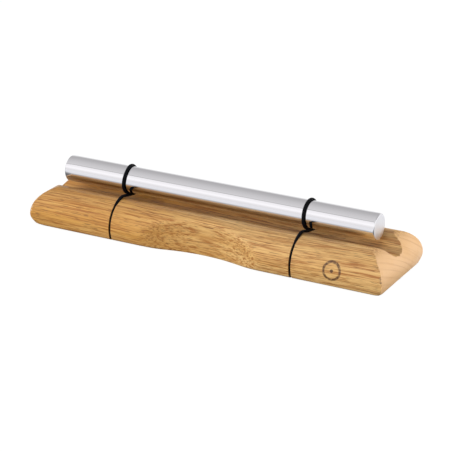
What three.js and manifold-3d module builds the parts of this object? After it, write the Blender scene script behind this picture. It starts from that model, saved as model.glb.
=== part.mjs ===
// Chime bar on a hardwood base: a polished aluminium rod carried in two elastic cords.
// Millimetres, +X along the bar, +Y to the back, +Z up, origin under the middle of the base.

import * as THREE from 'three';
import { mergeVertices } from 'three/addons/utils/BufferGeometryUtils.js';
import Module from 'manifold-3d';

const wasm = await Module();
wasm.setup();

// Base block: one round on all four sides, mitred at the corners
const base_length = 188;
const base_width = 46.4;
const base_height = 18.6;
const side_round = 12.7;
const easing_rise = 1.2;
const easing_run = 1.9;

// Groove along the top, with its crests rounded over
const groove_radius = 8.5;
const groove_depth = 6.5;
const crest_round = 6;

// Finger scoops at the waist, front and back
const waist_radius = 80;
const waist_depth = 6;

// Saw kerfs that hold the cords, and the pockets for their knots
const kerf_spacing = 96.4;
const kerf_width = 1.2;
const kerf_side_depth = 1.9;
const kerf_bottom_depth = 2.2;
const kerf_floor_radius = 12.7;
const pocket_diameter = 7.5;
const pocket_depth = 4.6;

// Chime bar
const bar_diameter = 13;
const bar_length = 166.4;
const bar_chamfer = 0.5;
const bar_sink = 1.05;
const bar_shift = 1.1;

// Elastic cords
const cord_diameter = 1.5;
const cord_pinched_width = 0.6;
const cord_gap = 0.3;
const knot_length = 5.2;
const knot_width = 4.4;
const knot_height = 3.6;
const leaving_share = 0.4;
const span_shares = [0.25, 0.5, 0.75];
const crest_shares = [0.3, 0.65, 1];
const underside_shares = [0.85, 0.7, 0.5, 0.25];

// Angles, in degrees, of a cord's places: where it leaves the crest, in the kerf's side and at its foot
const crest_leaving = 72;
const kerf_side_angles = [50, 40, 30, 20, 10, 0, -8];
const kerf_foot_angles = [-22, -45, -68, -90];

// Where each cord lies round the bar: degrees past the back of the bar, and how far to the right of its kerf
// it is there, as a share of its diameter. The two passes are its places under the bar.
const first_pass = -90;
const second_pass = 270;
const left_turn_shares = [[-40, 0.1], [40, -1.6], [130, -0.87], [225, -1.27]];
const right_turn_shares = [[-40, 0.6], [35, -0.93], [110, -0.83]];

// How far a cutter runs past what it cuts, and how near two vertices are one
const overrun = 4;
const weld_distance = 0.0003;

// Divisions: of a quarter or so of an outline's arc, of a round cut, of the bar and of the cords
const arc_divisions = 8;
const scoop_divisions = 240;
const pocket_divisions = 32;
const bar_divisions = 64;
const cord_sides = 8;
const seat_steps = 60;
const turn_steps = 72;
const turn_divisions = 28;
const gap_samples = 600;
const knot_divisions = 16;

// Places that follow from the sizes above
const belly_height = base_height - side_round;
const groove_centre_height = base_height - groove_depth + groove_radius;
const crest_centre_height = base_height - crest_round;
const crest_centre_y = Math.sqrt(
  (groove_radius + crest_round) ** 2 - (groove_centre_height - crest_centre_height) ** 2);
const side_centre_y = base_width / 2 - side_round;
const kerf_centre_y = base_width / 2 - kerf_side_depth - kerf_floor_radius;
const kerf_foot_angle = Math.asin((kerf_bottom_depth - belly_height) / kerf_floor_radius);
const kerf_foot_y = kerf_centre_y + kerf_floor_radius * Math.cos(kerf_foot_angle);
const kerf_x = kerf_spacing / 2;
const bar_height = base_height - bar_sink + bar_diameter / 2;
const cord_radius = cord_diameter / 2;
const cord_rest = cord_gap + cord_radius;

// The cords pass over the crests' tops
const crest_y = (crest_centre_y + side_centre_y) / 2;
const crest_run = side_round + cord_rest;
const crest_start = Math.acos(Math.max(crest_y - side_centre_y, 0) / crest_run);
const crest_height = belly_height + crest_run * Math.sin(crest_start);

const wood = new THREE.MeshStandardMaterial({ color: 0xcf9f62, roughness: 0.55, metalness: 0 });
const aluminium = new THREE.MeshStandardMaterial({ color: 0xd9dadd, roughness: 0.18, metalness: 1 });
const elastic = new THREE.MeshStandardMaterial({ color: 0x14161b, roughness: 0.85, metalness: 0 });

const chime_bar = new THREE.Group();

function addPiece(name, geometry, material) {
  const mesh = new THREE.Mesh(geometry, material);
  mesh.name = name;
  chime_bar.add(mesh);
}

function toSolid(geometry) {
  const bare = geometry.clone();
  bare.deleteAttribute('normal');
  bare.deleteAttribute('uv');
  const merged = mergeVertices(bare, weld_distance);
  const vertProperties = new Float32Array(merged.attributes.position.array);
  const triVerts = new Uint32Array(merged.index.array);
  return new wasm.Manifold(new wasm.Mesh({ numProp: 3, vertProperties, triVerts }));
}

function toGeometry(solid) {
  const mesh = solid.getMesh();
  const geometry = new THREE.BufferGeometry();
  geometry.setAttribute('position', new THREE.BufferAttribute(new Float32Array(mesh.vertProperties), 3));
  geometry.setIndex(new THREE.BufferAttribute(new Uint32Array(mesh.triVerts), 1));
  geometry.computeVertexNormals();
  return geometry;
}

// An outline in Y and Z, drawn out along X about x_centre
function alongX(shape, length, x_centre = 0) {
  const geometry = new THREE.ExtrudeGeometry(
    shape, { depth: length, steps: 1, bevelEnabled: false, curveSegments: arc_divisions });
  geometry.translate(0, 0, x_centre - length / 2);
  return geometry.applyMatrix4(new THREE.Matrix4().makeBasis(
    new THREE.Vector3(0, 1, 0), new THREE.Vector3(0, 0, 1), new THREE.Vector3(1, 0, 0)));
}

// An outline in X and Z, drawn out along Y about the middle
function alongY(shape, length) {
  const geometry = new THREE.ExtrudeGeometry(
    shape, { depth: length, steps: 1, bevelEnabled: false, curveSegments: arc_divisions });
  geometry.translate(0, 0, -length / 2);
  return geometry.applyMatrix4(new THREE.Matrix4().makeBasis(
    new THREE.Vector3(1, 0, 0), new THREE.Vector3(0, 0, 1), new THREE.Vector3(0, -1, 0)));
}

function upright(radius, height, divisions, x, y, z_centre) {
  const geometry = new THREE.CylinderGeometry(radius, radius, height, divisions);
  geometry.rotateX(Math.PI / 2);
  geometry.translate(x, y, z_centre);
  return geometry;
}

// Base

// The block's outline from the front or from an end: flat under, round sides, flat on top
function blockOutline(half_extent) {
  const centre = half_extent - side_round;
  const start = Math.asin((easing_rise - belly_height) / side_round);
  const foot = centre + side_round * Math.cos(start) - easing_run;
  const shape = new THREE.Shape();
  shape.moveTo(-foot, 0);
  shape.lineTo(foot, 0);
  shape.absarc(centre, belly_height, side_round, start, Math.PI / 2, false);
  shape.absarc(-centre, belly_height, side_round, Math.PI / 2, Math.PI - start, false);
  shape.closePath();
  return shape;
}

function grooveOutline() {
  const meet = Math.atan2(crest_centre_height - groove_centre_height, crest_centre_y);
  const shape = new THREE.Shape();
  shape.moveTo(0, groove_centre_height - groove_radius);
  shape.absarc(0, groove_centre_height, groove_radius, -Math.PI / 2, meet, false);
  shape.absarc(crest_centre_y, crest_centre_height, crest_round, Math.PI + meet, Math.PI / 2, true);
  shape.lineTo(crest_centre_y, base_height + overrun);
  shape.lineTo(-crest_centre_y, base_height + overrun);
  shape.absarc(-crest_centre_y, crest_centre_height, crest_round, Math.PI / 2, -meet, true);
  shape.absarc(0, groove_centre_height, groove_radius, Math.PI - meet, 1.5 * Math.PI, false);
  return shape;
}

// A saw cut round the front, underside and back: everything outside the wood that it leaves
function kerfOutline() {
  const reach_y = base_width / 2 + overrun;
  const core = new THREE.Path();
  core.absarc(kerf_centre_y, belly_height, kerf_floor_radius, kerf_foot_angle, Math.PI / 2, false);
  core.absarc(-kerf_centre_y, belly_height, kerf_floor_radius, Math.PI / 2, Math.PI - kerf_foot_angle, false);
  core.closePath();
  const shape = new THREE.Shape();
  shape.moveTo(-reach_y, -overrun);
  shape.lineTo(reach_y, -overrun);
  shape.lineTo(reach_y, base_height + overrun);
  shape.lineTo(-reach_y, base_height + overrun);
  shape.closePath();
  shape.holes.push(core);
  return shape;
}

function makeBase() {
  const lengthwise = toSolid(alongX(blockOutline(base_width / 2), base_length + overrun));
  const crosswise = toSolid(alongY(blockOutline(base_length / 2), base_width + overrun));
  const groove = toSolid(alongX(grooveOutline(), base_length + overrun));
  let block = lengthwise.intersect(crosswise).subtract(groove);

  const scoop_y = base_width / 2 - waist_depth + waist_radius;
  const scoop_height = base_height + 2 * overrun;
  for (const side of [-1, 1]) {
    block = block.subtract(toSolid(upright(
      waist_radius, scoop_height, scoop_divisions, 0, side * scoop_y, base_height / 2)));
  }

  for (const side of [-1, 1]) {
    const x = side * kerf_x;
    block = block.subtract(toSolid(alongX(kerfOutline(), kerf_width, x)));
    block = block.subtract(toSolid(upright(
      pocket_diameter / 2, 2 * pocket_depth, pocket_divisions, x, 0, 0)));
  }
  return toGeometry(block);
}

// Chime bar: a turned rod with chamfered ends

function makeBar() {
  const radius = bar_diameter / 2;
  const profile = [
    new THREE.Vector2(0, -bar_length / 2),
    new THREE.Vector2(radius - bar_chamfer, -bar_length / 2),
    new THREE.Vector2(radius, -bar_length / 2 + bar_chamfer),
    new THREE.Vector2(radius, bar_length / 2 - bar_chamfer),
    new THREE.Vector2(radius - bar_chamfer, bar_length / 2),
    new THREE.Vector2(0, bar_length / 2),
  ];
  const geometry = new THREE.LatheGeometry(profile, bar_divisions);
  geometry.rotateZ(-Math.PI / 2);
  geometry.translate(-bar_shift, 0, bar_height);
  return geometry;
}

// Cords

function cordSection() {
  const section = new THREE.Shape();
  for (let i = 0; i < cord_sides; i += 1) {
    const angle = (i + 0.5) / cord_sides * 2 * Math.PI;
    section.lineTo(cord_radius * Math.cos(angle), cord_radius * Math.sin(angle));
  }
  section.closePath();
  return section;
}

function cordAlong(points, steps) {
  const route = new THREE.CatmullRomCurve3(points, false, 'centripetal');
  return new THREE.ExtrudeGeometry(cordSection(), { steps, extrudePath: route, bevelEnabled: false });
}

// Half of the stretch that sits in a kerf, from the crest down to the middle of the underside
function seatRoute(x, side) {
  const flat_height = kerf_bottom_depth - cord_rest;
  const kerf_run = kerf_floor_radius + cord_rest;
  const route = [new THREE.Vector3(x, side * (crest_y + cord_gap / 2), crest_height)];
  const placeAbout = (centre_y, centre_height, run, angle) => {
    route.push(new THREE.Vector3(
      x, side * (centre_y + run * Math.cos(angle)), centre_height + run * Math.sin(angle)));
  };
  for (const share of crest_shares) {
    const angle = THREE.MathUtils.lerp(crest_start, THREE.MathUtils.degToRad(crest_leaving), share);
    placeAbout(side_centre_y, belly_height, crest_run, angle);
  }
  for (const degrees of kerf_side_angles) {
    placeAbout(kerf_centre_y, belly_height, kerf_run, THREE.MathUtils.degToRad(degrees));
  }
  for (const degrees of kerf_foot_angles) {
    placeAbout(kerf_foot_y, kerf_bottom_depth, cord_rest, THREE.MathUtils.degToRad(degrees));
  }
  for (const share of underside_shares) {
    route.push(new THREE.Vector3(x, side * kerf_foot_y * share, flat_height));
  }
  return route;
}

// The kerf is narrower than the cord, so the cord is pinched flat in it and round again on the crest
function pinch(geometry, x) {
  const pinched_height = base_height - cord_radius;
  const round_height = base_height + cord_gap;
  const least = cord_pinched_width / cord_diameter;
  const place = geometry.attributes.position;
  for (let i = 0; i < place.count; i += 1) {
    const share = THREE.MathUtils.smoothstep(place.getZ(i), pinched_height, round_height);
    place.setX(i, x + (place.getX(i) - x) * (least + (1 - least) * share));
  }
}

function makeSeat(x) {
  const front = seatRoute(x, -1);
  const back = seatRoute(x, 1).reverse();
  const middle = new THREE.Vector3(x, 0, kerf_bottom_depth - cord_rest);
  const stretch = cordAlong([...front, middle, ...back], seat_steps);
  pinch(stretch, x);
  const knot = new THREE.SphereGeometry(cord_radius, knot_divisions, knot_divisions / 2);
  knot.scale(knot_width / cord_diameter, knot_length / cord_diameter, knot_height / cord_diameter);
  knot.translate(x, 0, cord_gap + knot_height / 2);
  return toGeometry(toSolid(stretch).add(toSolid(knot)));
}

// How far to the right of its kerf a cord is at an angle round the bar
function shiftAt(turn_shares, degrees) {
  let [[from, share]] = turn_shares;
  for (const [to, next_share] of turn_shares) {
    share = THREE.MathUtils.lerp(share, next_share, THREE.MathUtils.smoothstep(degrees, from, to));
    from = to;
  }
  return share * cord_diameter;
}

// The free stretch: off the front crest, under the bar, once round it and under it again to the back crest
function turnRoute(x, turn_shares) {
  const run = bar_diameter / 2 + cord_rest;
  const end_y = crest_y - cord_gap / 2;
  const bend_y = end_y - cord_diameter;
  const reach = Math.hypot(bend_y, bar_height - crest_height);
  const leave = Math.atan2(bar_height - crest_height, bend_y) + Math.acos(run / reach);
  const from = Math.PI + leave;
  const to = 4 * Math.PI - leave;
  const tangent = new THREE.Vector2(run * Math.cos(from), bar_height + run * Math.sin(from));

  const moved = (share) => THREE.MathUtils.smoothstep(share, 0, leaving_share);
  const route = [
    new THREE.Vector3(x, -end_y, crest_height),
    new THREE.Vector3(x, -(end_y + bend_y) / 2, crest_height),
    new THREE.Vector3(x, -bend_y, crest_height),
  ];
  for (const share of span_shares) {
    route.push(new THREE.Vector3(
      x + shiftAt(turn_shares, first_pass) * moved(share),
      THREE.MathUtils.lerp(-bend_y, tangent.x, share),
      THREE.MathUtils.lerp(crest_height, tangent.y, share)));
  }
  for (let i = 0; i <= turn_divisions; i += 1) {
    const angle = THREE.MathUtils.lerp(from, to, i / turn_divisions);
    const shift = shiftAt(turn_shares, THREE.MathUtils.radToDeg(angle - 2 * Math.PI));
    route.push(new THREE.Vector3(x + shift, run * Math.cos(angle), bar_height + run * Math.sin(angle)));
  }
  for (const share of span_shares.toReversed()) {
    route.push(new THREE.Vector3(
      x + shiftAt(turn_shares, second_pass) * moved(share),
      THREE.MathUtils.lerp(bend_y, -tangent.x, share),
      THREE.MathUtils.lerp(crest_height, tangent.y, share)));
  }
  route.push(
    new THREE.Vector3(x, bend_y, crest_height),
    new THREE.Vector3(x, (end_y + bend_y) / 2, crest_height),
    new THREE.Vector3(x, end_y, crest_height));
  return route;
}

// Least distance between two stretches of one cord that aren't neighbours, less its diameter
function leastGap(points) {
  const route = new THREE.CatmullRomCurve3(points, false, 'centripetal');
  const places = route.getSpacedPoints(gap_samples);
  const apart = Math.ceil(4 * cord_diameter / route.getLength() * gap_samples);
  let least = Infinity;
  for (let i = 0; i < places.length; i += 1) {
    for (let j = i + apart; j < places.length; j += 1) {
      least = Math.min(least, places[i].distanceTo(places[j]));
    }
  }
  return least - cord_diameter;
}

addPiece('base', makeBase(), wood);
addPiece('chime_bar', makeBar(), aluminium);
for (const [name, x, turn_shares] of [
  ['left', -kerf_x, left_turn_shares], ['right', kerf_x, right_turn_shares],
]) {
  const turn = turnRoute(x, turn_shares);
  console.log(`${name} cord: least gap to itself ${leastGap(turn).toFixed(2)} mm`);
  addPiece(`${name}_cord_seat`, makeSeat(x), elastic);
  addPiece(`${name}_cord_turn`, cordAlong(turn, turn_steps), elastic);
}

export default chime_bar;
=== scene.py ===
"""Chime bar on a hardwood base, dressed for a studio picture. Metres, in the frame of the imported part."""
import math

import bmesh
import bpy
import numpy as np
from mathutils import Matrix, Vector


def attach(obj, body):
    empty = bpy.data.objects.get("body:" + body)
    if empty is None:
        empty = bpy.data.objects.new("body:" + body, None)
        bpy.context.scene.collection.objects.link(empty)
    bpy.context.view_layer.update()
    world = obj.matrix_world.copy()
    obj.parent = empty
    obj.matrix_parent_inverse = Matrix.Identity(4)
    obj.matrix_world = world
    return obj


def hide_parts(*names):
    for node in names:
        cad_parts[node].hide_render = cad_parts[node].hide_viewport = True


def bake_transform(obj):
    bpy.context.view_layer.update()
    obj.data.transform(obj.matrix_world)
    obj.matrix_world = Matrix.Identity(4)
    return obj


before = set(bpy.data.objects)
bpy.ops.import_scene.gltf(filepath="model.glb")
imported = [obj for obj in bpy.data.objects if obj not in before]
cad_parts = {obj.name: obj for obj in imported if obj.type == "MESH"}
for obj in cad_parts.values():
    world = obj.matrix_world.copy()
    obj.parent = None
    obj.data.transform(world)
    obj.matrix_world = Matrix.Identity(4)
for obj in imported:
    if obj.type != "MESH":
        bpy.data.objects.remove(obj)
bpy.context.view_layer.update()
mm = 0.001

# Base: one block of oiled light hardwood. Its four sides are worked to one large round that meets in crisp
# mitres, a round groove runs along its top and a finger scoop is sanded into each long side. Two saw kerfs
# take the cords, and a pocket drilled into each kerf from below hides the cord's knot.

base_length = 188 * mm
base_width = 46.4 * mm
base_height = 18.6 * mm
side_round = 12.7 * mm
foot_rise = 1.2 * mm
foot_inset = 1.9 * mm
groove_radius = 8.5 * mm
groove_depth = 6.5 * mm
crest_round = 6 * mm
waist_radius = 80 * mm
waist_depth = 6 * mm
waist_half_length = 34 * mm
waist_softness = 1.5 * mm
waist_easing = 0.5 * mm
kerf_spacing = 96.4 * mm
kerf_width = 1.2 * mm
kerf_side_depth = 1.9 * mm
kerf_bottom_depth = 2.2 * mm
kerf_floor_radius = 12.7 * mm
pocket_diameter = 7.5 * mm
pocket_depth = 4.6 * mm
arris = 0.8 * mm
arris_least_share = 0.35
left_corner_round = 4.5 * mm
right_corner_round = 2.2 * mm
corner_round_fade = 1.6
crease = math.radians(50)

belly_height = base_height - side_round
side_centre = base_width / 2 - side_round
groove_centre_height = base_height - groove_depth + groove_radius
crest_centre_height = base_height - crest_round
crest_centre = math.sqrt(
    (groove_radius + crest_round) ** 2 - (groove_centre_height - crest_centre_height) ** 2)
crest_y = (crest_centre + side_centre) / 2
kerf_x = kerf_spacing / 2
kerf_centre = base_width / 2 - kerf_side_depth - kerf_floor_radius
kerf_foot_angle = math.degrees(math.asin((kerf_bottom_depth - belly_height) / kerf_floor_radius))
kerf_foot = kerf_centre + kerf_floor_radius * math.cos(math.radians(kerf_foot_angle))


def arc(centre_y, centre_z, radius, start, end, count):
    """Points of an arc in Y and Z, from and to an angle in degrees."""
    angles = np.radians(np.linspace(start, end, count))
    return np.column_stack([centre_y + radius * np.cos(angles), centre_z + radius * np.sin(angles)])


foot_angle = math.degrees(math.asin((foot_rise - belly_height) / side_round))
heel = side_centre + side_round * math.cos(math.radians(foot_angle))
foot = heel - foot_inset
crest_angle = math.degrees(math.acos((crest_y - side_centre) / side_round))
crest_inner_angle = math.degrees(math.acos((crest_y - crest_centre) / crest_round))
meeting_angle = math.degrees(math.atan2(crest_centre_height - groove_centre_height, crest_centre))

foot_columns = 10
side_points = 45
crest_points = 11
groove_points = 17
kerf_floor_points = 48
waist_points = 125
points_to_kerf = 9
points_past_kerf = 16

floor_line = np.column_stack([np.linspace(0, foot, foot_columns + 1), np.zeros(foot_columns + 1)])
foot_point = np.array([foot, 0])
easing_knee = np.array([foot + 0.5 * foot_inset, 0.2 * foot_rise])
heel_point = np.array([heel, foot_rise])
easing = np.array([
    (1 - t) ** 2 * foot_point + 2 * t * (1 - t) * easing_knee + t ** 2 * heel_point
    for t in np.linspace(0, 1, 6)[1:-1]])
side_line = arc(side_centre, belly_height, side_round, foot_angle, crest_angle, side_points)
crest_line = arc(
    crest_centre, crest_centre_height, crest_round, crest_inner_angle, 180 + meeting_angle,
    crest_points)[1:]
groove_line = arc(0, groove_centre_height, groove_radius, meeting_angle, -90, groove_points)[1:]
outline = np.vstack([floor_line, easing, side_line, crest_line, groove_line])

foot_at = foot_columns
heel_at = foot_at + len(easing) + 1
crest_at = heel_at + len(side_line) - 1
groove_at = len(outline) - 1

# The crest is sanded over, so the two rounds run into each other
crest_strokes = 12
for _ in range(crest_strokes):
    below, over, beyond = (outline[crest_at + k - 3:crest_at + k + 4] for k in (-1, 0, 1))
    outline[crest_at - 3:crest_at + 4] = (below + 2 * over + beyond) / 4

outer = outline[foot_at:crest_at + 1]
outline_inset = base_width / 2 - np.interp(outline[:, 1], outer[:, 1], outer[:, 0])
outline_inset[:foot_at] = base_width / 2 - foot
outline_inset[foot_at:crest_at + 1] = base_width / 2 - outer[:, 0]

end_zone = 78 * mm
end_shares = np.array([0.25, 0.5, 0.7, 0.84, 0.93, 1])
waist_stations = np.linspace(-waist_half_length, waist_half_length, waist_points)
side_stations = np.concatenate([
    np.linspace(waist_half_length, kerf_x - kerf_width / 2, points_to_kerf)[1:],
    np.linspace(kerf_x + kerf_width / 2, end_zone, points_past_kerf)])
stations = np.concatenate([-side_stations[::-1], waist_stations, side_stations])
end_count = len(end_shares)
station_count = len(stations) + 2 * end_count


def soft_least(a, b, softness):
    """The lesser of two lengths, with the corner between them rounded."""
    share = np.maximum(softness - np.abs(a - b), 0) / softness
    return np.minimum(a, b) - share ** 2 * softness / 4


def waist_at(x):
    """How far from the middle the finger scoop's wall lies."""
    return base_width / 2 - waist_depth + waist_radius - math.sqrt(waist_radius ** 2 - x ** 2)


def station_points(i):
    """Where the outline lies at one station along the base, for the side at +Y."""
    points = np.column_stack([np.zeros(len(outline)), outline])
    if end_count <= i < station_count - end_count:
        x = stations[i - end_count]
        points[:, 0] = x
        if abs(x) < waist_half_length + waist_softness:
            wall = waist_at(x)
            points[heel_at:crest_at, 1] = soft_least(outline[heel_at:crest_at, 0], wall, waist_softness)
            heel_here = points[heel_at, 1]
            foot_here = soft_least(foot, heel_here - waist_easing, waist_softness)
            points[:foot_at + 1, 1] = outline[:foot_at + 1, 0] * foot_here / foot
            eased = (outline[foot_at:heel_at, 0] - foot) / (heel - foot)
            points[foot_at:heel_at, 1] = foot_here + eased * (heel_here - foot_here)
        return points
    share = end_shares[end_count - 1 - i] if i < end_count else end_shares[i - station_count + end_count]
    end = -1 if i < end_count else 1
    points[:, 0] = end * (end_zone + share * (base_length / 2 - outline_inset - end_zone))
    return points


base_mesh = bmesh.new()
corners = {}


def corner(key, place):
    """The vertex of that key, made the first time that it is asked for."""
    if key not in corners:
        corners[key] = base_mesh.verts.new(place)
    return corners[key]


def face(*vertices):
    """A face from its corners, less those that fall together."""
    kept = [v for i, v in enumerate(vertices) if v not in vertices[:i]]
    if len(kept) > 2:
        base_mesh.faces.new(kept)


def skin(side, i, j, points):
    """A vertex of the long faces. The two sides share the middle of the underside and of the groove."""
    shared = 0 if j in (0, groove_at) else side
    return corner(("skin", shared, i, j), (points[j, 0], side * points[j, 1], points[j, 2]))


rows = [station_points(i) for i in range(station_count)]
kerf_columns = [
    i for i in range(station_count - 1)
    if abs(abs(rows[i][0, 0] + rows[i + 1][0, 0]) / 2 - kerf_x) < kerf_width / 4]

# The kerf's floor, shared out as the outline over it is. It runs out on the crest's top.
kerf_crest_angle = math.degrees(math.acos((crest_y - kerf_centre) / kerf_floor_radius))
kerf_arc = arc(
    kerf_centre, belly_height, kerf_floor_radius, kerf_foot_angle, kerf_crest_angle, kerf_floor_points)
kerf_floor = np.vstack([[[0, kerf_bottom_depth]], kerf_arc])


def run_along(line):
    """How far along an open line each of its points lies."""
    return np.concatenate([[0], np.cumsum(np.linalg.norm(np.diff(line, axis=0), axis=1))])


outline_run = run_along(outline[:crest_at + 1])
floor_run = run_along(kerf_floor)
kerf_points = np.column_stack([
    np.interp(outline_run / outline_run[-1], floor_run / floor_run[-1], kerf_floor[:, k]) for k in (0, 1)])

lips = []
for side in (-1, 1):
    for i in range(station_count - 1):
        for j in range(groove_at):
            ring = [skin(side, i, j, rows[i]), skin(side, i + 1, j, rows[i + 1]),
                    skin(side, i + 1, j + 1, rows[i + 1]), skin(side, i, j + 1, rows[i])]
            if i not in kerf_columns or j >= crest_at:
                face(*ring)
                continue
            floor = []
            for column, level in ((i, j), (i + 1, j), (i + 1, j + 1), (i, j + 1)):
                if level == crest_at:
                    floor.append(skin(side, column, level, rows[column]))
                    continue
                y, z = kerf_points[level]
                key = ("kerf", 0 if level == 0 else side, column, level)
                floor.append(corner(key, (rows[column][level, 0], side * y, z)))
            face(*floor)
            face(ring[0], floor[0], floor[3], ring[3])
            face(ring[1], floor[1], floor[2], ring[2])
            lips += [(ring[0], ring[3]), (ring[1], ring[2]), (floor[0], floor[3]), (floor[1], floor[2])]

# The two ends: rows that run from the side's outline to the middle line or the groove
end_rows = crest_at - foot_at + 1
groove_rows = groove_at - crest_at + 1
middle_rows = end_rows - groove_rows
groove_floor = outline[groove_at, 1]
for i, end in ((0, -1), (station_count - 1, 1)):
    for side in (-1, 1):
        grid = []
        for m in range(end_rows):
            rim = outline[foot_at + m]
            if m < middle_rows:
                inner = np.array([0, groove_floor * m / middle_rows])
            else:
                inner = outline[groove_at - (m - middle_rows)]
            line = []
            for n in range(foot_columns + 1):
                if m == 0:
                    line.append(skin(side, i, n, rows[i]))
                elif n == foot_columns or m == end_rows - 1:
                    line.append(skin(side, i, foot_at + m, rows[i]))
                elif n == 0 and m >= middle_rows:
                    line.append(skin(side, i, groove_at - (m - middle_rows), rows[i]))
                else:
                    y, z = inner + (rim - inner) * n / foot_columns
                    x = base_length / 2 - base_width / 2 + np.interp(z, outer[:, 1], outer[:, 0])
                    shared = 0 if n == 0 else side
                    line.append(corner(("end", end, shared, m, n), (end * x, side * y, z)))
            grid.append(line)
        for low, high in zip(grid, grid[1:]):
            for n in range(foot_columns):
                face(low[n], low[n + 1], high[n + 1], high[n])

# At the foot the four corners are sanded round, less and less up to the belly
for vertex in base_mesh.verts:
    inset = base_width / 2 - np.interp(vertex.co.z, outer[:, 1], outer[:, 0])
    corner_round = left_corner_round if vertex.co.x < 0 else right_corner_round
    rounding = corner_round * (1 - min(vertex.co.z / belly_height, 1)) ** corner_round_fade
    past = np.abs(vertex.co.xy) - (np.array([base_length, base_width]) / 2 - inset - rounding)
    if min(past) > 0 and math.hypot(*past) > rounding:
        kept = rounding / math.hypot(*past)
        vertex.co.xy = [c - math.copysign(p * (1 - kept), c) for c, p in zip(vertex.co.xy, past)]

# The arrises at the mitres and round the groove's mouths are taken off with the sander, most at the tips
softened = base_mesh.edges.layers.float.new("bevel_weight_edge")
for i in (0, station_count - 1):
    for side in (-1, 1):
        for j in range(foot_at, groove_at):
            edge = base_mesh.edges.get((skin(side, i, j, rows[i]), skin(side, i, j + 1, rows[i])))
            to_tip = abs(j - crest_at) / len(crest_line)
            edge[softened] = max(arris_least_share, 1 - (1 - arris_least_share) * to_tip)
for pair in lips:
    edge = base_mesh.edges.get(pair)
    if edge:
        edge.smooth = False
for each in base_mesh.faces:
    each.smooth = True
bmesh.ops.recalc_face_normals(base_mesh, faces=base_mesh.faces)


def finished(name, mesh):
    """A new piece in the scene, from its mesh."""
    data = bpy.data.meshes.new(name)
    mesh.to_mesh(data)
    mesh.free()
    piece = bpy.data.objects.new(name, data)
    bpy.context.scene.collection.objects.link(piece)
    return piece


def settle(piece):
    """Makes a piece's modifiers part of its mesh."""
    depsgraph = bpy.context.evaluated_depsgraph_get()
    data = bpy.data.meshes.new_from_object(piece.evaluated_get(depsgraph))
    piece.modifiers.clear()
    piece.data = data


base = finished("hardwood_base", base_mesh)
sanding = base.modifiers.new("sanding", "BEVEL")
sanding.limit_method = "WEIGHT"
sanding.width = arris
sanding.segments = 3
sanding.use_clamp_overlap = True
pocket_cutters = []
for side in (-1, 1):
    drill = bmesh.new()
    bmesh.ops.create_cone(
        drill, cap_ends=True, segments=48, radius1=pocket_diameter / 2, radius2=pocket_diameter / 2,
        depth=2 * pocket_depth, matrix=Matrix.Translation((side * kerf_x, 0, 0)))
    cutter = finished("pocket_drill", drill)
    drilling = base.modifiers.new("drilling", "BOOLEAN")
    drilling.object = cutter
    drilling.operation = "DIFFERENCE"
    drilling.solver = "EXACT"
    pocket_cutters.append(cutter)
settle(base)
for cutter in pocket_cutters:
    bpy.data.objects.remove(cutter)
base.data.set_sharp_from_angle(angle=crease)


class Shader:
    """A procedural material, or the world's light, with short ways to add its nodes."""

    def __init__(self, name, family=bpy.data.materials):
        self.data = family.new(name)
        self.data.use_nodes = True
        self.nodes = self.data.node_tree.nodes
        self.links = self.data.node_tree.links
        self.body = self.nodes.get("Principled BSDF") or self.nodes["Background"]

    def add(self, kind, **inputs):
        """A node. Its sockets are given by name, as a value or as a link from another node's output."""
        node = self.nodes.new("ShaderNode" + kind)
        self.feed(node, **inputs)
        return node

    def feed(self, node, **inputs):
        """Fills a node's sockets. One whose name another shares is given by its number, such as _0."""
        for name, value in inputs.items():
            socket = node.inputs[int(name[1:])] if name[0] == "_" else node.inputs[name.replace("_", " ")]
            if isinstance(value, bpy.types.NodeSocket):
                self.links.new(value, socket)
            else:
                socket.default_value = value

    def place(self, scale=(1, 1, 1), rotation=(0, 0, 0), offset=(0, 0, 0), where=None):
        """The piece's own coordinates in metres, or others that are given, scaled and turned."""
        where = where or self.add("TexCoord").outputs["Object"]
        node = self.add("Mapping", Vector=where, Scale=scale, Rotation=rotation, Location=offset)
        return node.outputs[0]

    def noise(self, vector, scale=1.0, detail=2.0, roughness=0.5):
        node = self.add("TexNoise", Vector=vector, Scale=scale, Detail=detail, Roughness=roughness)
        return node.outputs["Fac"]

    def math(self, operation, a, b=0.0, c=0.0):
        node = self.add("Math", _0=a, _1=b, _2=c)
        node.operation = operation
        return node.outputs[0]

    def distance(self, a, b):
        """How far a point lies from an axis, from its two parts."""
        return self.math("SQRT", self.math("ADD", self.math("POWER", a, 2), self.math("POWER", b, 2)))

    def band(self, value, low, high, start=0.0, end=1.0):
        """A smooth step of a value between two limits."""
        node = self.add("MapRange", Value=value, From_Min=low, From_Max=high, To_Min=start, To_Max=end)
        node.interpolation_type = "SMOOTHSTEP"
        return node.outputs["Result"]

    def mix(self, share, a, b):
        """A mix of two colours, each given as a colour or as a link."""
        node = self.nodes.new("ShaderNodeMix")
        node.data_type = "RGBA"
        self.feed(node, _0=share, _6=a, _7=b)
        return node.outputs[2]

    def bump(self, height, distance, strength):
        return self.add("Bump", Height=height, Distance=distance, Strength=strength).outputs[0]


# Oiled hardwood, the base's finish: faint growth rings about a pith that lies below the block, streaks that
# wander a little as they run along X, and short dark pores and flecks. The ends, cut across the grain, are
# paler and smoother.

wood = Shader("oiled_hardwood")
honey = (0.74, 0.38, 0.08, 1)
pale_honey = (0.93, 0.595, 0.23, 1)
streak_brown = (0.41, 0.145, 0.025, 1)
pore_brown = (0.2, 0.075, 0.018, 1)
end_peach = (0.89, 0.555, 0.28, 1)
burn_brown = (0.085, 0.032, 0.01, 1)
ring_spacing = 3.4 * mm
ring_depth = 0.22
pore_depth = 0.62
most_wander = 3 * mm

along_x, along_y, along_z = wood.add("SeparateXYZ", Vector=wood.place()).outputs

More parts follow.
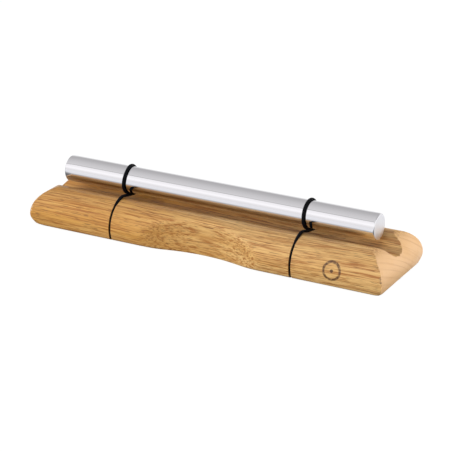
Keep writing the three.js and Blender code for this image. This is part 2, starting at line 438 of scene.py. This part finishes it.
drift = wood.noise(wood.place((8, 9, 9), offset=(3.1, 0.4, 1.7)), detail=1)
wander = wood.math("MULTIPLY_ADD", drift, 2 * most_wander, -most_wander)
grain = wood.add(
    "CombineXYZ", _0=along_x, _1=wood.math("ADD", along_y, wander),
    _2=wood.math("MULTIPLY_ADD", wander, 0.8, along_z)).outputs[0]


def figure(along, across, offset=(0, 0, 0), detail=2.0, roughness=0.5):
    """Marks in the wood, drawn out along its grain: about so many to the metre along it and across it."""
    place = wood.place((along, across, across), offset=offset, where=grain)
    return wood.noise(place, detail=detail, roughness=roughness)


_, ring_y, ring_z = wood.add("SeparateXYZ", Vector=wood.place(
    rotation=(0, math.radians(1.3), math.radians(0.9)), offset=(0, 0.04, 0.12), where=grain)).outputs
rings_out = wood.math("MULTIPLY", wood.distance(ring_y, ring_z), 1 / ring_spacing)
ring_saw = wood.math("FRACT", wood.math("MULTIPLY_ADD", figure(6, 70, (0.2, 5, 3)), 2.6, rings_out))
rings = wood.math("MULTIPLY", wood.band(ring_saw, 0.2, 0.86), wood.band(ring_saw, 0.86, 1.0, 1.0, 0.0))

clouds = figure(9, 130, (0.7, 2.2, 0.3), detail=3)
streaks = figure(12, 760, detail=4, roughness=0.6)
fine_streaks = figure(42, 1900, (1, 8, 2), detail=3, roughness=0.6)
fibres = figure(120, 3600, roughness=0.6)
pores = wood.band(figure(170, 2300, (5, 1, 2), detail=1.5), 0.6, 0.7)
flecks = wood.band(figure(80, 1900, (2, 7, 4)), 0.64, 0.7)

# The long grain is painted paler towards the right end: a painted brightening that stands in for more light
# on the right half. The clouds' paler patches are the wood's own tone.
painted_light_to_right = wood.band(along_x, -40 * mm, 40 * mm, 0.0, 0.7)
paler = wood.math("MULTIPLY_ADD", wood.band(clouds, 0.35, 0.65), 0.45, painted_light_to_right)
long_grain = wood.mix(paler, honey, pale_honey)
long_grain = wood.mix(wood.math("MULTIPLY", rings, ring_depth), long_grain, streak_brown)
for marks, low, high, depth in (
        (streaks, 0.48, 0.72, 0.6), (fine_streaks, 0.47, 0.64, 0.95), (fibres, 0.35, 0.75, 0.25)):
    long_grain = wood.mix(wood.band(marks, low, high, 0.0, depth), long_grain, streak_brown)
for marks in (flecks, pores):
    long_grain = wood.mix(wood.math("MULTIPLY", marks, pore_depth), long_grain, pore_brown)

end_radius = wood.distance(wood.math("ADD", along_y, 50 * mm), wood.math("ADD", along_z, 85 * mm))
layers = wood.add("CombineXYZ", _0=end_radius, _1=along_y, _2=along_x).outputs[0]
cut_lines = wood.noise(wood.place((800, 22, 12), where=layers), detail=3, roughness=0.6)
cut_grain = wood.mix(wood.band(clouds, 0.35, 0.75, 0.0, 0.3), end_peach, honey)
cut_grain = wood.mix(wood.band(cut_lines, 0.48, 0.68, 0.0, 0.24), cut_grain, streak_brown)

facing = wood.add("SeparateXYZ", Vector=wood.add("TexCoord").outputs["Normal"]).outputs[0]
at_ends = wood.band(wood.math("ABSOLUTE", along_x), 74 * mm, 78 * mm)
end_grain = wood.math("MULTIPLY", wood.band(wood.math("ABSOLUTE", facing), 0.2, 0.72), at_ends)
timber = wood.mix(end_grain, long_grain, cut_grain)

# A plain ring with a dot, burnt into the front near the right end
mark_x = 69.3 * mm
mark_z = 8.5 * mm
mark_radius = 4.05 * mm
mark_line = 0.8 * mm
mark_dot = 0.95 * mm
mark_wobble = 0.5 * mm
off_mark = wood.distance(wood.math("SUBTRACT", along_x, mark_x), wood.math("SUBTRACT", along_z, mark_z))
off_mark = wood.math("MULTIPLY_ADD", wood.noise(wood.place((420, 420, 420))), mark_wobble, off_mark)
off_ring = wood.math("ABSOLUTE", wood.math("SUBTRACT", off_mark, mark_radius + mark_wobble / 2))
ring_burn = wood.band(off_ring, mark_line, 0.4 * mark_line)
dot_burn = wood.band(off_mark, mark_dot + 0.4 * mm, mark_dot - 0.1 * mm)
scorch = wood.band(wood.noise(wood.place((900, 900, 900))), 0.3, 0.6, 0.5, 0.95)
burnt = wood.math("MAXIMUM", ring_burn, dot_burn)
burnt = wood.math("MULTIPLY", burnt, wood.band(along_y, -12 * mm, -14 * mm))
burnt = wood.math("MULTIPLY", burnt, scorch)
timber = wood.mix(burnt, timber, burn_brown)

relief = wood.math("ADD", wood.math("MULTIPLY", pores, -0.6), wood.math("MULTIPLY", fibres, 0.35))
relief = wood.math("SUBTRACT", relief, wood.math("MULTIPLY", burnt, 1.5))
wood.feed(
    wood.body, Base_Color=timber, Roughness=wood.band(streaks, 0.3, 0.8, 0.36, 0.46),
    Normal=wood.bump(relief, 0.06 * mm, 0.6), IOR=1.5, Specular_IOR_Level=0.8)
base.data.materials.clear()
base.data.materials.append(wood.data)
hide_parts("base")
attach(base, "stand")

# Chime bar: a length of drawn aluminium rod, polished along its length, with its ends faced square on the
# lathe and lightly chamfered. It lies free in the cords' turns and touches nothing else.

bar_diameter = 13 * mm
bar_length = 166.4 * mm
bar_chamfer = 0.5 * mm
bar_sink = 1.05 * mm
bar_shift = 1.1 * mm
bar_radius = bar_diameter / 2
bar_height = base_height - bar_sink + bar_radius
bar_sides = 128
bar_divisions = 40
edge_break = 0.12 * mm

half_profile = [
    (bar_length / 2, 0.3 * bar_radius),
    (bar_length / 2, 0.7 * bar_radius),
    (bar_length / 2, bar_radius - bar_chamfer - edge_break),
    (bar_length / 2 - 0.3 * edge_break, bar_radius - bar_chamfer),
    (bar_length / 2 - bar_chamfer, bar_radius - 0.3 * edge_break),
    (bar_length / 2 - bar_chamfer - edge_break, bar_radius)]
bar_profile = [(-x, r) for x, r in half_profile]
body_reach = bar_length / 2 - bar_chamfer - edge_break
bar_profile += [(x, bar_radius) for x in np.linspace(-body_reach, body_reach, bar_divisions + 1)[1:-1]]
bar_profile += half_profile[::-1]

bar_mesh = bmesh.new()
turned = []
for x, radius in bar_profile:
    turned.append([
        bar_mesh.verts.new((
            x - bar_shift, radius * math.cos(2 * math.pi * k / bar_sides),
            bar_height + radius * math.sin(2 * math.pi * k / bar_sides)))
        for k in range(bar_sides)])
for near_ring, far_ring in zip(turned, turned[1:]):
    for k in range(bar_sides):
        n = (k + 1) % bar_sides
        bar_mesh.faces.new((near_ring[k], near_ring[n], far_ring[n], far_ring[k]))
for ring, x in ((turned[0], -bar_length / 2), (turned[-1], bar_length / 2)):
    hub = bar_mesh.verts.new((x - bar_shift, 0, bar_height))
    for k in range(bar_sides):
        bar_mesh.faces.new((ring[k], ring[(k + 1) % bar_sides], hub))
bmesh.ops.recalc_face_normals(bar_mesh, faces=bar_mesh.faces)
for each in bar_mesh.faces:
    each.smooth = True
    each.material_index = 1 if abs(each.normal.x) > 0.98 else 0
bar = finished("chime_rod", bar_mesh)
bar.data.set_sharp_from_angle(angle=crease)

polish = Shader("polished_aluminium")
draw_lines = polish.noise(polish.place((6, 1900, 1900)), detail=3, roughness=0.6)
handling = polish.noise(polish.place((38, 60, 60)), detail=4, roughness=0.6)
polish.feed(
    polish.body, Base_Color=(0.905, 0.9, 0.92, 1), Metallic=1.0,
    Roughness=polish.math(
        "ADD", polish.band(draw_lines, 0.3, 0.7, 0.03, 0.055), polish.band(handling, 0.45, 0.8, 0.0, 0.02)),
    Normal=polish.bump(draw_lines, 0.004 * mm, 0.35))

faced = Shader("faced_aluminium")
tool_feed = 0.16 * mm
about_axis = faced.place(offset=(0, 0, -bar_height))
frosting = faced.noise(about_axis, scale=900)
_, face_y, face_z = faced.add("SeparateXYZ", Vector=about_axis).outputs
tool_marks = faced.math(
    "SINE", faced.math("MULTIPLY", faced.distance(face_y, face_z), 2 * math.pi / tool_feed))
faced.feed(
    faced.body, Base_Color=(0.95, 0.945, 0.955, 1), Metallic=1.0,
    Roughness=faced.band(frosting, 0.3, 0.7, 0.3, 0.4), Normal=faced.bump(tool_marks, 0.004 * mm, 0.5))
for finish in (polish, faced):
    bar.data.materials.append(finish.data)
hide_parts("chime_bar")
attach(bar, "bar")

# Elastic cords: two rings of black braided shock cord. Each lies pinched in its kerf from the knot under the
# base to both crests, spreads over them, crosses the groove, passes under the bar, goes once round it and
# passes under it again.

cord_diameter = 1.5 * mm
cord_contact = 0.02 * mm
cord_pinched = 1.12 * mm
cord_flattened = 1.05 * mm
cord_spread = 1.75 * mm
crest_spread = 1.85 * mm
crest_flattened = 1.3 * mm
first_pass = -90
second_pass = 270
left_turn_shares = ((-40, 0.1), (40, -1.6), (130, -0.87), (225, -1.27))
right_turn_shares = ((-40, 0.6), (35, -0.93), (110, -0.83))
leaving_share = 0.4
span_shares = (0, 0.25, 0.5, 0.75)
span_drop = 0.12 * mm
pinched_below = -0.65 * mm
free_above = -0.2 * mm
braid_strands = 8
braid_pitch = 1.8 * mm
braid_relief = 0.1 * mm
cord_sides = 40
cord_step = 0.15 * mm
curve_points = 24
wrap_points = 41
pressing = 16
knot_reach = 0.82 * mm
knot_lift = 0.78 * mm
knot_height = 2.05 * mm
knot_open = 28
knot_points = 40

cord_radius = cord_diameter / 2
cord_rest = cord_contact + cord_radius
kerf_run = kerf_floor_radius + cord_rest
crest_top = belly_height + math.sqrt(kerf_run ** 2 - (crest_y - kerf_centre) ** 2)


def smooth_share(value, low, high):
    """A smooth step of a value from 0 to 1 between two limits."""
    t = np.clip((value - low) / (high - low), 0, 1)
    return t * t * (3 - 2 * t)


def flowing(points):
    """Even points along a smooth line through the given ones, a Catmull-Rom curve."""
    points = np.array(points, float)
    points = np.vstack([2 * points[0] - points[1], points, 2 * points[-1] - points[-2]])
    line = []
    for p0, p1, p2, p3 in zip(points, points[1:], points[2:], points[3:]):
        t1 = math.sqrt(np.linalg.norm(p1 - p0))
        t2 = t1 + math.sqrt(np.linalg.norm(p2 - p1))
        t3 = t2 + math.sqrt(np.linalg.norm(p3 - p2))
        for t in np.linspace(t1, t2, curve_points, endpoint=False):
            a1 = ((t1 - t) * p0 + t * p1) / t1
            a2 = ((t2 - t) * p1 + (t - t1) * p2) / (t2 - t1)
            a3 = ((t3 - t) * p2 + (t - t2) * p3) / (t3 - t2)
            b1 = ((t2 - t) * a1 + t * a2) / t2
            b2 = ((t3 - t) * a2 + (t - t1) * a3) / (t3 - t1)
            line.append(((t2 - t) * b1 + (t - t1) * b2) / (t2 - t1))
    line = np.array([*line, points[-2]])
    run = run_along(line)
    even = np.linspace(0, run[-1], round(run[-1] / cord_step) + 1)
    return np.column_stack([np.interp(even, run, line[:, k]) for k in range(3)])


def seat_route(x, side):
    """From the pocket along the underside, up the kerf and over the crest's top."""
    under_z = kerf_bottom_depth - cord_rest
    route = [(x, side * share * kerf_foot, under_z) for share in (0.25, 0.5, 0.7, 0.85)]

    def about(centre_y, centre_z, run, degrees):
        angle = math.radians(degrees)
        route.append((x, side * (centre_y + run * math.cos(angle)), centre_z + run * math.sin(angle)))

    for degrees in (-90, -68, -45, -22):
        about(kerf_foot, kerf_bottom_depth, cord_rest, degrees)
    for degrees in (-8, 0, 10, 20, 30, 40, 50, 60, 70):
        about(kerf_centre, belly_height, kerf_run, degrees)
    route.append((x, side * crest_y, crest_top))
    return route


def shift_at(turn_shares, degrees):
    """How far to the right of its kerf a cord is, at an angle round the bar in degrees past the back."""
    start, share = turn_shares[0]
    for end, next_share in turn_shares[1:]:
        share += (next_share - share) * smooth_share(degrees, start, end)
        start = end
    return share * cord_diameter


def turn_route(x, turn_shares):
    """From the front crest under the bar, once round it and under it again to the back crest."""
    run = bar_radius + cord_contact + cord_flattened / 2
    bend = crest_y - cord_diameter
    bend_top = crest_top - span_drop
    reach = math.hypot(bend, bar_height - bend_top)
    leave = math.atan2(bar_height - bend_top, bend) + math.acos(run / reach)
    start = math.pi + leave
    end = 4 * math.pi - leave
    touch_y = run * math.cos(start)
    touch_z = bar_height + run * math.sin(start)
    spans = []
    for side, degrees in ((-1, first_pass), (1, second_pass)):
        shift = shift_at(turn_shares, degrees)
        spans.append([
            (x + shift * smooth_share(share, 0, leaving_share), side * (bend - share * (touch_y + bend)),
             bend_top + share * (touch_z - bend_top))
            for share in span_shares])
    wrap = []
    for angle in np.linspace(start, end, wrap_points):
        shift = shift_at(turn_shares, math.degrees(angle) - 360)
        wrap.append((x + shift, run * math.cos(angle), bar_height + run * math.sin(angle)))
    return spans[0], wrap, spans[1][::-1]


def braided(name, line, run_before=0, width=None, depth=None):
    """A braided tube along a line, and how much cord there is up to its end.

    width is its breadth along X at each point, least where the kerf pinches it, and depth is how thick it is
    the other way, least where the bar presses it flat. Without them it is round.
    """
    tangents = np.gradient(line, axis=0)
    tangents /= np.linalg.norm(tangents, axis=1)[:, None]
    across = np.zeros_like(line)
    if width is None:
        across[0] = np.cross(tangents[0], (0, 0, 1))
        for k in range(1, len(line)):
            across[k] = across[k - 1] - tangents[k] * (across[k - 1] @ tangents[k])
            across[k] /= np.linalg.norm(across[k])
        across[0] /= np.linalg.norm(across[0])
        width = depth = np.full(len(line), cord_diameter)
    else:
        across[:] = np.array([1, 0, 0]) - tangents * tangents[:, :1]
        across /= np.linalg.norm(across, axis=1)[:, None]
    upright = np.cross(tangents, across)
    run = run_before + run_along(line)
    tube = bmesh.new()
    rings = []
    for k, centre in enumerate(line):
        ring = []
        for s in range(cord_sides):
            angle = 2 * math.pi * s / cord_sides
            lay = 4 * math.pi * run[k] / braid_pitch
            left = math.cos((braid_strands * angle + lay) / 2)
            right = math.cos((braid_strands * angle - lay) / 2)
            radius = cord_radius - braid_relief * (1 - left ** 2 * right ** 2)
            place = centre + radius / cord_diameter * (
                width[k] * math.cos(angle) * across[k] + depth[k] * math.sin(angle) * upright[k])
            ring.append(tube.verts.new(place))
        rings.append(ring)
    for near_ring, far_ring in zip(rings, rings[1:]):
        for s in range(cord_sides):
            n = (s + 1) % cord_sides
            tube.faces.new((near_ring[s], near_ring[n], far_ring[n], far_ring[s]))
    for ring in (rings[0], rings[-1]):
        tube.faces.new(ring)
    bmesh.ops.recalc_face_normals(tube, faces=tube.faces)
    for each in tube.faces:
        each.smooth = len(each.verts) == 4
    piece = finished(name, tube)
    piece.data.materials.append(sheath.data)
    return piece, run[-1]


sheath = Shader("black_braid")
deep_black = (0.0012, 0.0014, 0.002, 1)
worn_black = (0.0025, 0.0036, 0.0065, 1)
yarn = sheath.noise(sheath.place((2600, 2600, 2600)))
wear = sheath.band(sheath.noise(sheath.place((160, 160, 160))), 0.35, 0.7)
sheath.feed(
    sheath.body, Base_Color=sheath.mix(wear, deep_black, worn_black),
    Roughness=sheath.band(yarn, 0.3, 0.7, 0.45, 0.65), Normal=sheath.bump(yarn, 0.03 * mm, 0.6),
    Specular_IOR_Level=0.1, Sheen_Weight=0.015, Sheen_Roughness=0.4, Sheen_Tint=(0.35, 0.42, 0.6, 1))

for name, x, turn_shares in (("left", -kerf_x, left_turn_shares), ("right", kerf_x, right_turn_shares)):
    front_span, wrap, back_span = turn_route(x, turn_shares)
    whole = flowing(seat_route(x, -1) + front_span + wrap + back_span + seat_route(x, 1)[::-1])
    first_touch, last_touch = (
        np.argmin(np.linalg.norm(whole - np.array(wrap[k]), axis=1)) for k in (0, -1))

    # How far out of the kerf each point is, how far over the crest and how hard the bar presses on it
    out = np.abs(whole[:, 1])
    upper = whole[:, 2] > base_height / 2
    above_wood = np.hypot(out - side_centre, whole[:, 2] - belly_height) - side_round
    leaving_kerf = np.where(out > crest_y, smooth_share(above_wood, pinched_below, free_above), 1)
    free = np.where(upper, leaving_kerf, 0)
    on_crest = free * smooth_share(out, crest_y - 2 * mm, crest_y)
    places = np.arange(len(whole))
    on_bar = np.minimum(
        smooth_share(places, first_touch - pressing, first_touch),
        smooth_share(-places, -last_touch - pressing, -last_touch))
    widths = cord_pinched + (cord_diameter - cord_pinched) * free + (cord_spread - cord_diameter) * on_bar
    widths += (crest_spread - cord_diameter) * on_crest
    depths = cord_diameter + (cord_flattened - cord_diameter) * on_bar
    depths += (crest_flattened - cord_diameter) * on_crest

    run = 0
    pieces = []
    for part, stretch in (
            ("front", slice(0, first_touch + 1)), ("wrap", slice(first_touch, last_touch + 1)),
            ("back", slice(last_touch, None))):
        piece, run = braided(f"{name}_cord_{part}", whole[stretch], run, widths[stretch], depths[stretch])
        pieces.append(piece)
    front_piece, wrap_piece, back_piece = pieces
    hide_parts(name + "_cord_seat")
    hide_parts(name + "_cord_turn")
    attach(wrap_piece, "cord_turns")
    for piece, side in ((front_piece, -1), (back_piece, 1)):
        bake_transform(piece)

    # The ends are tied in an overhand knot that fills the pocket
    loops = []
    for t in np.radians(np.linspace(knot_open, 360 - knot_open, knot_points)):
        loops.append((
            x + knot_reach * (math.cos(t) - 2 * math.cos(2 * t)),
            knot_reach * (math.sin(t) + 2 * math.sin(2 * t)),
            knot_height - knot_lift * math.sin(3 * t)))
    tail = 0.25 * kerf_foot + 0.4 * mm
    tails = [(x, end * tail, kerf_bottom_depth - cord_rest) for end in (-1, 1)]
    if loops[0][1] > 0:
        tails.reverse()
    knot, _ = braided(name + "_cord_knot", flowing([tails[0], *loops, tails[1]]))
    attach(knot, "stand")

# The camera stands to the right and above, some 0.85 m away. Its long lens keeps the bar and the block's
# edges close to parallel.

camera_azimuth = math.radians(29.05)
camera_elevation = math.radians(21.93)
camera_roll = math.radians(-0.34)
camera_distance = 851.5 * mm
camera_aim = Vector((2.7, 0, 9.57)) * mm

toward = Vector((
    math.sin(camera_azimuth) * math.cos(camera_elevation),
    -math.cos(camera_azimuth) * math.cos(camera_elevation),
    math.sin(camera_elevation)))
level = Vector((math.cos(camera_azimuth), math.sin(camera_azimuth), 0))
rising = toward.cross(level)
rolled_level = math.cos(camera_roll) * level + math.sin(camera_roll) * rising
rolled_rising = math.cos(camera_roll) * rising - math.sin(camera_roll) * level
turn = Matrix((rolled_level, rolled_rising, toward)).transposed().to_4x4()
camera = bpy.data.objects.new("camera", bpy.data.cameras.new("camera"))
camera.data.sensor_width = 36
camera.data.lens = 142.85
camera.data.clip_start = 0.01
camera.matrix_world = Matrix.Translation(camera_aim + camera_distance * toward) @ turn
bpy.context.scene.collection.objects.link(camera)
bpy.context.scene.camera = camera

# The studio: a white table under a round white tent, which the polished bar mirrors, bright in front and
# greyer overhead. The tent lights the wood softly, and the lamps are a low key from the front left, a weaker
# one from behind on the right and a faint one overhead.

scene = bpy.context.scene
scene.view_settings.view_transform = "Standard"

table_size = 6
table_gap = 0.05 * mm
table_glow = 0.93
table_in_gloss = 0.76
table_bounce = 0.15

table_mesh = bmesh.new()
bmesh.ops.create_grid(table_mesh, x_segments=2, y_segments=2, size=table_size / 2)
table = finished("table", table_mesh)
table.location.z = -table_gap
white = Shader("white_table")
seen = white.add("LightPath")
straight = white.math("MAXIMUM", seen.outputs["Is Camera Ray"], seen.outputs["Is Transmission Ray"])
lit = white.add("BsdfDiffuse", Color=(0.16, 0.16, 0.16, 1))
glow = white.add("Emission", Color=(1, 1, 1, 1), Strength=table_glow)
table_y = white.add("SeparateXYZ", Vector=white.place()).outputs[1]
# In gloss the table is painted darker about the block, a painted shade. It is darkest from 25 mm in front of
# the middle line to the middle line, and it fades out 80 mm in front and 30 mm behind.
painted_shade_near_block = white.math(
    "MAXIMUM", white.band(table_y, -25 * mm, -80 * mm, 0.1, 1.0), white.band(table_y, 0.0, 30 * mm))
mirrored = white.add(
    "Emission", Color=(0.96, 0.965, 1, 1), Strength=white.math("MULTIPLY", painted_shade_near_block, table_in_gloss))
bounce = white.add("Emission", Color=(1, 1, 1, 1), Strength=table_bounce)
for_camera = white.add("AddShader", _0=lit.outputs[0], _1=glow.outputs[0])
for_gloss = white.add("AddShader", _0=lit.outputs[0], _1=mirrored.outputs[0])
after_wood = white.math("MINIMUM", seen.outputs["Diffuse Depth"], 1.0)
in_gloss = white.math("MULTIPLY", seen.outputs["Is Glossy Ray"], white.math("SUBTRACT", 1.0, after_wood))
other = white.add("MixShader", _0=in_gloss, _1=bounce.outputs[0], _2=for_gloss.outputs[0])
whole_table = white.add("MixShader", _0=straight, _1=other.outputs[0], _2=for_camera.outputs[0])
white.links.new(whole_table.outputs[0], white.nodes["Material Output"].inputs["Surface"])
table.data.materials.append(white.data)

tent_radius = 1.6
tent_length = 6
tent_panels = 48
tent_levels = (
    (0, 0.83), (12, 0.87), (27, 1.08), (38, 1.0), (53.6, 0.94), (54.2, 0.4), (57.2, 0.4), (57.8, 0.71),
    (90, 0.62), (120, 0.51), (150, 0.46))
less_on_wood = 0.58

tent_mesh = bmesh.new()
hoops = []
for k in range(tent_panels + 1):
    angle = math.pi * k / tent_panels
    y = -tent_radius * math.cos(angle)
    z = tent_radius * math.sin(angle)
    hoops.append([tent_mesh.verts.new((end * tent_length / 2, y, z)) for end in (-1, 1)])
for near_hoop, far_hoop in zip(hoops, hoops[1:]):
    tent_mesh.faces.new((near_hoop[0], near_hoop[1], far_hoop[1], far_hoop[0]))
tent = finished("tent", tent_mesh)
for ray in ("camera", "transmission", "shadow", "volume_scatter"):
    setattr(tent, "visible_" + ray, False)
cloth = Shader("tent_cloth")
_, tent_y, tent_z = cloth.add("SeparateXYZ", Vector=cloth.place()).outputs
round_tent = cloth.math("ARCTAN2", tent_z, cloth.math("MULTIPLY", tent_y, -1.0))
tent_tones = cloth.add("ValToRGB", Fac=cloth.math("DIVIDE", round_tent, math.pi))

# The tent's brightness by degrees up from its foot in front. Its foot behind keeps the ramp's own white.
stops = tent_tones.color_ramp.elements
for degrees, brightness in tent_levels:
    stop = stops.new(degrees / 180) if degrees else stops[0]
    stop.color = (brightness, 0.985 * brightness, brightness, 1)
on_wood = cloth.math("MINIMUM", cloth.add("LightPath").outputs["Diffuse Depth"], 1.0)
tent_strength = cloth.math("MULTIPLY_ADD", on_wood, -less_on_wood, 1.0)
tent_light = cloth.add("Emission", Color=tent_tones.outputs[0], Strength=tent_strength)
cloth.links.new(tent_light.outputs[0], cloth.nodes["Material Output"].inputs["Surface"])
tent.data.materials.append(cloth.data)


def soft_light(name, place, size, power):
    """A square soft box that faces the middle of the block. Gloss doesn't mirror it."""
    lamp = bpy.data.objects.new(name, bpy.data.lights.new(name, "AREA"))
    lamp.data.size = size
    lamp.data.energy = power
    lamp.location = place
    lamp.rotation_euler = (Vector((0, 0, 10 * mm)) - Vector(place)).to_track_quat("-Z", "Y").to_euler()
    lamp.visible_glossy = False
    scene.collection.objects.link(lamp)


soft_light("key", (-1.5, -1.95, 0.47), 0.7, 41.5)
soft_light("side", (1.08, 0.58, 0.36), 0.5, 12)
soft_light("overhead", (0.1, -0.95, 1.28), 0.5, 4)

room = Shader("studio", bpy.data.worlds)
ray = room.add("LightPath").outputs
seen_in_room = room.math(
    "MAXIMUM", room.math("MAXIMUM", ray["Is Camera Ray"], ray["Is Transmission Ray"]), ray["Is Glossy Ray"])
room_strength = room.add("MapRange", Value=seen_in_room, To_Min=0.4, To_Max=1.0).outputs[0]
room.feed(room.body, Color=(1, 1, 1, 1), Strength=room_strength)
scene.world = room.data
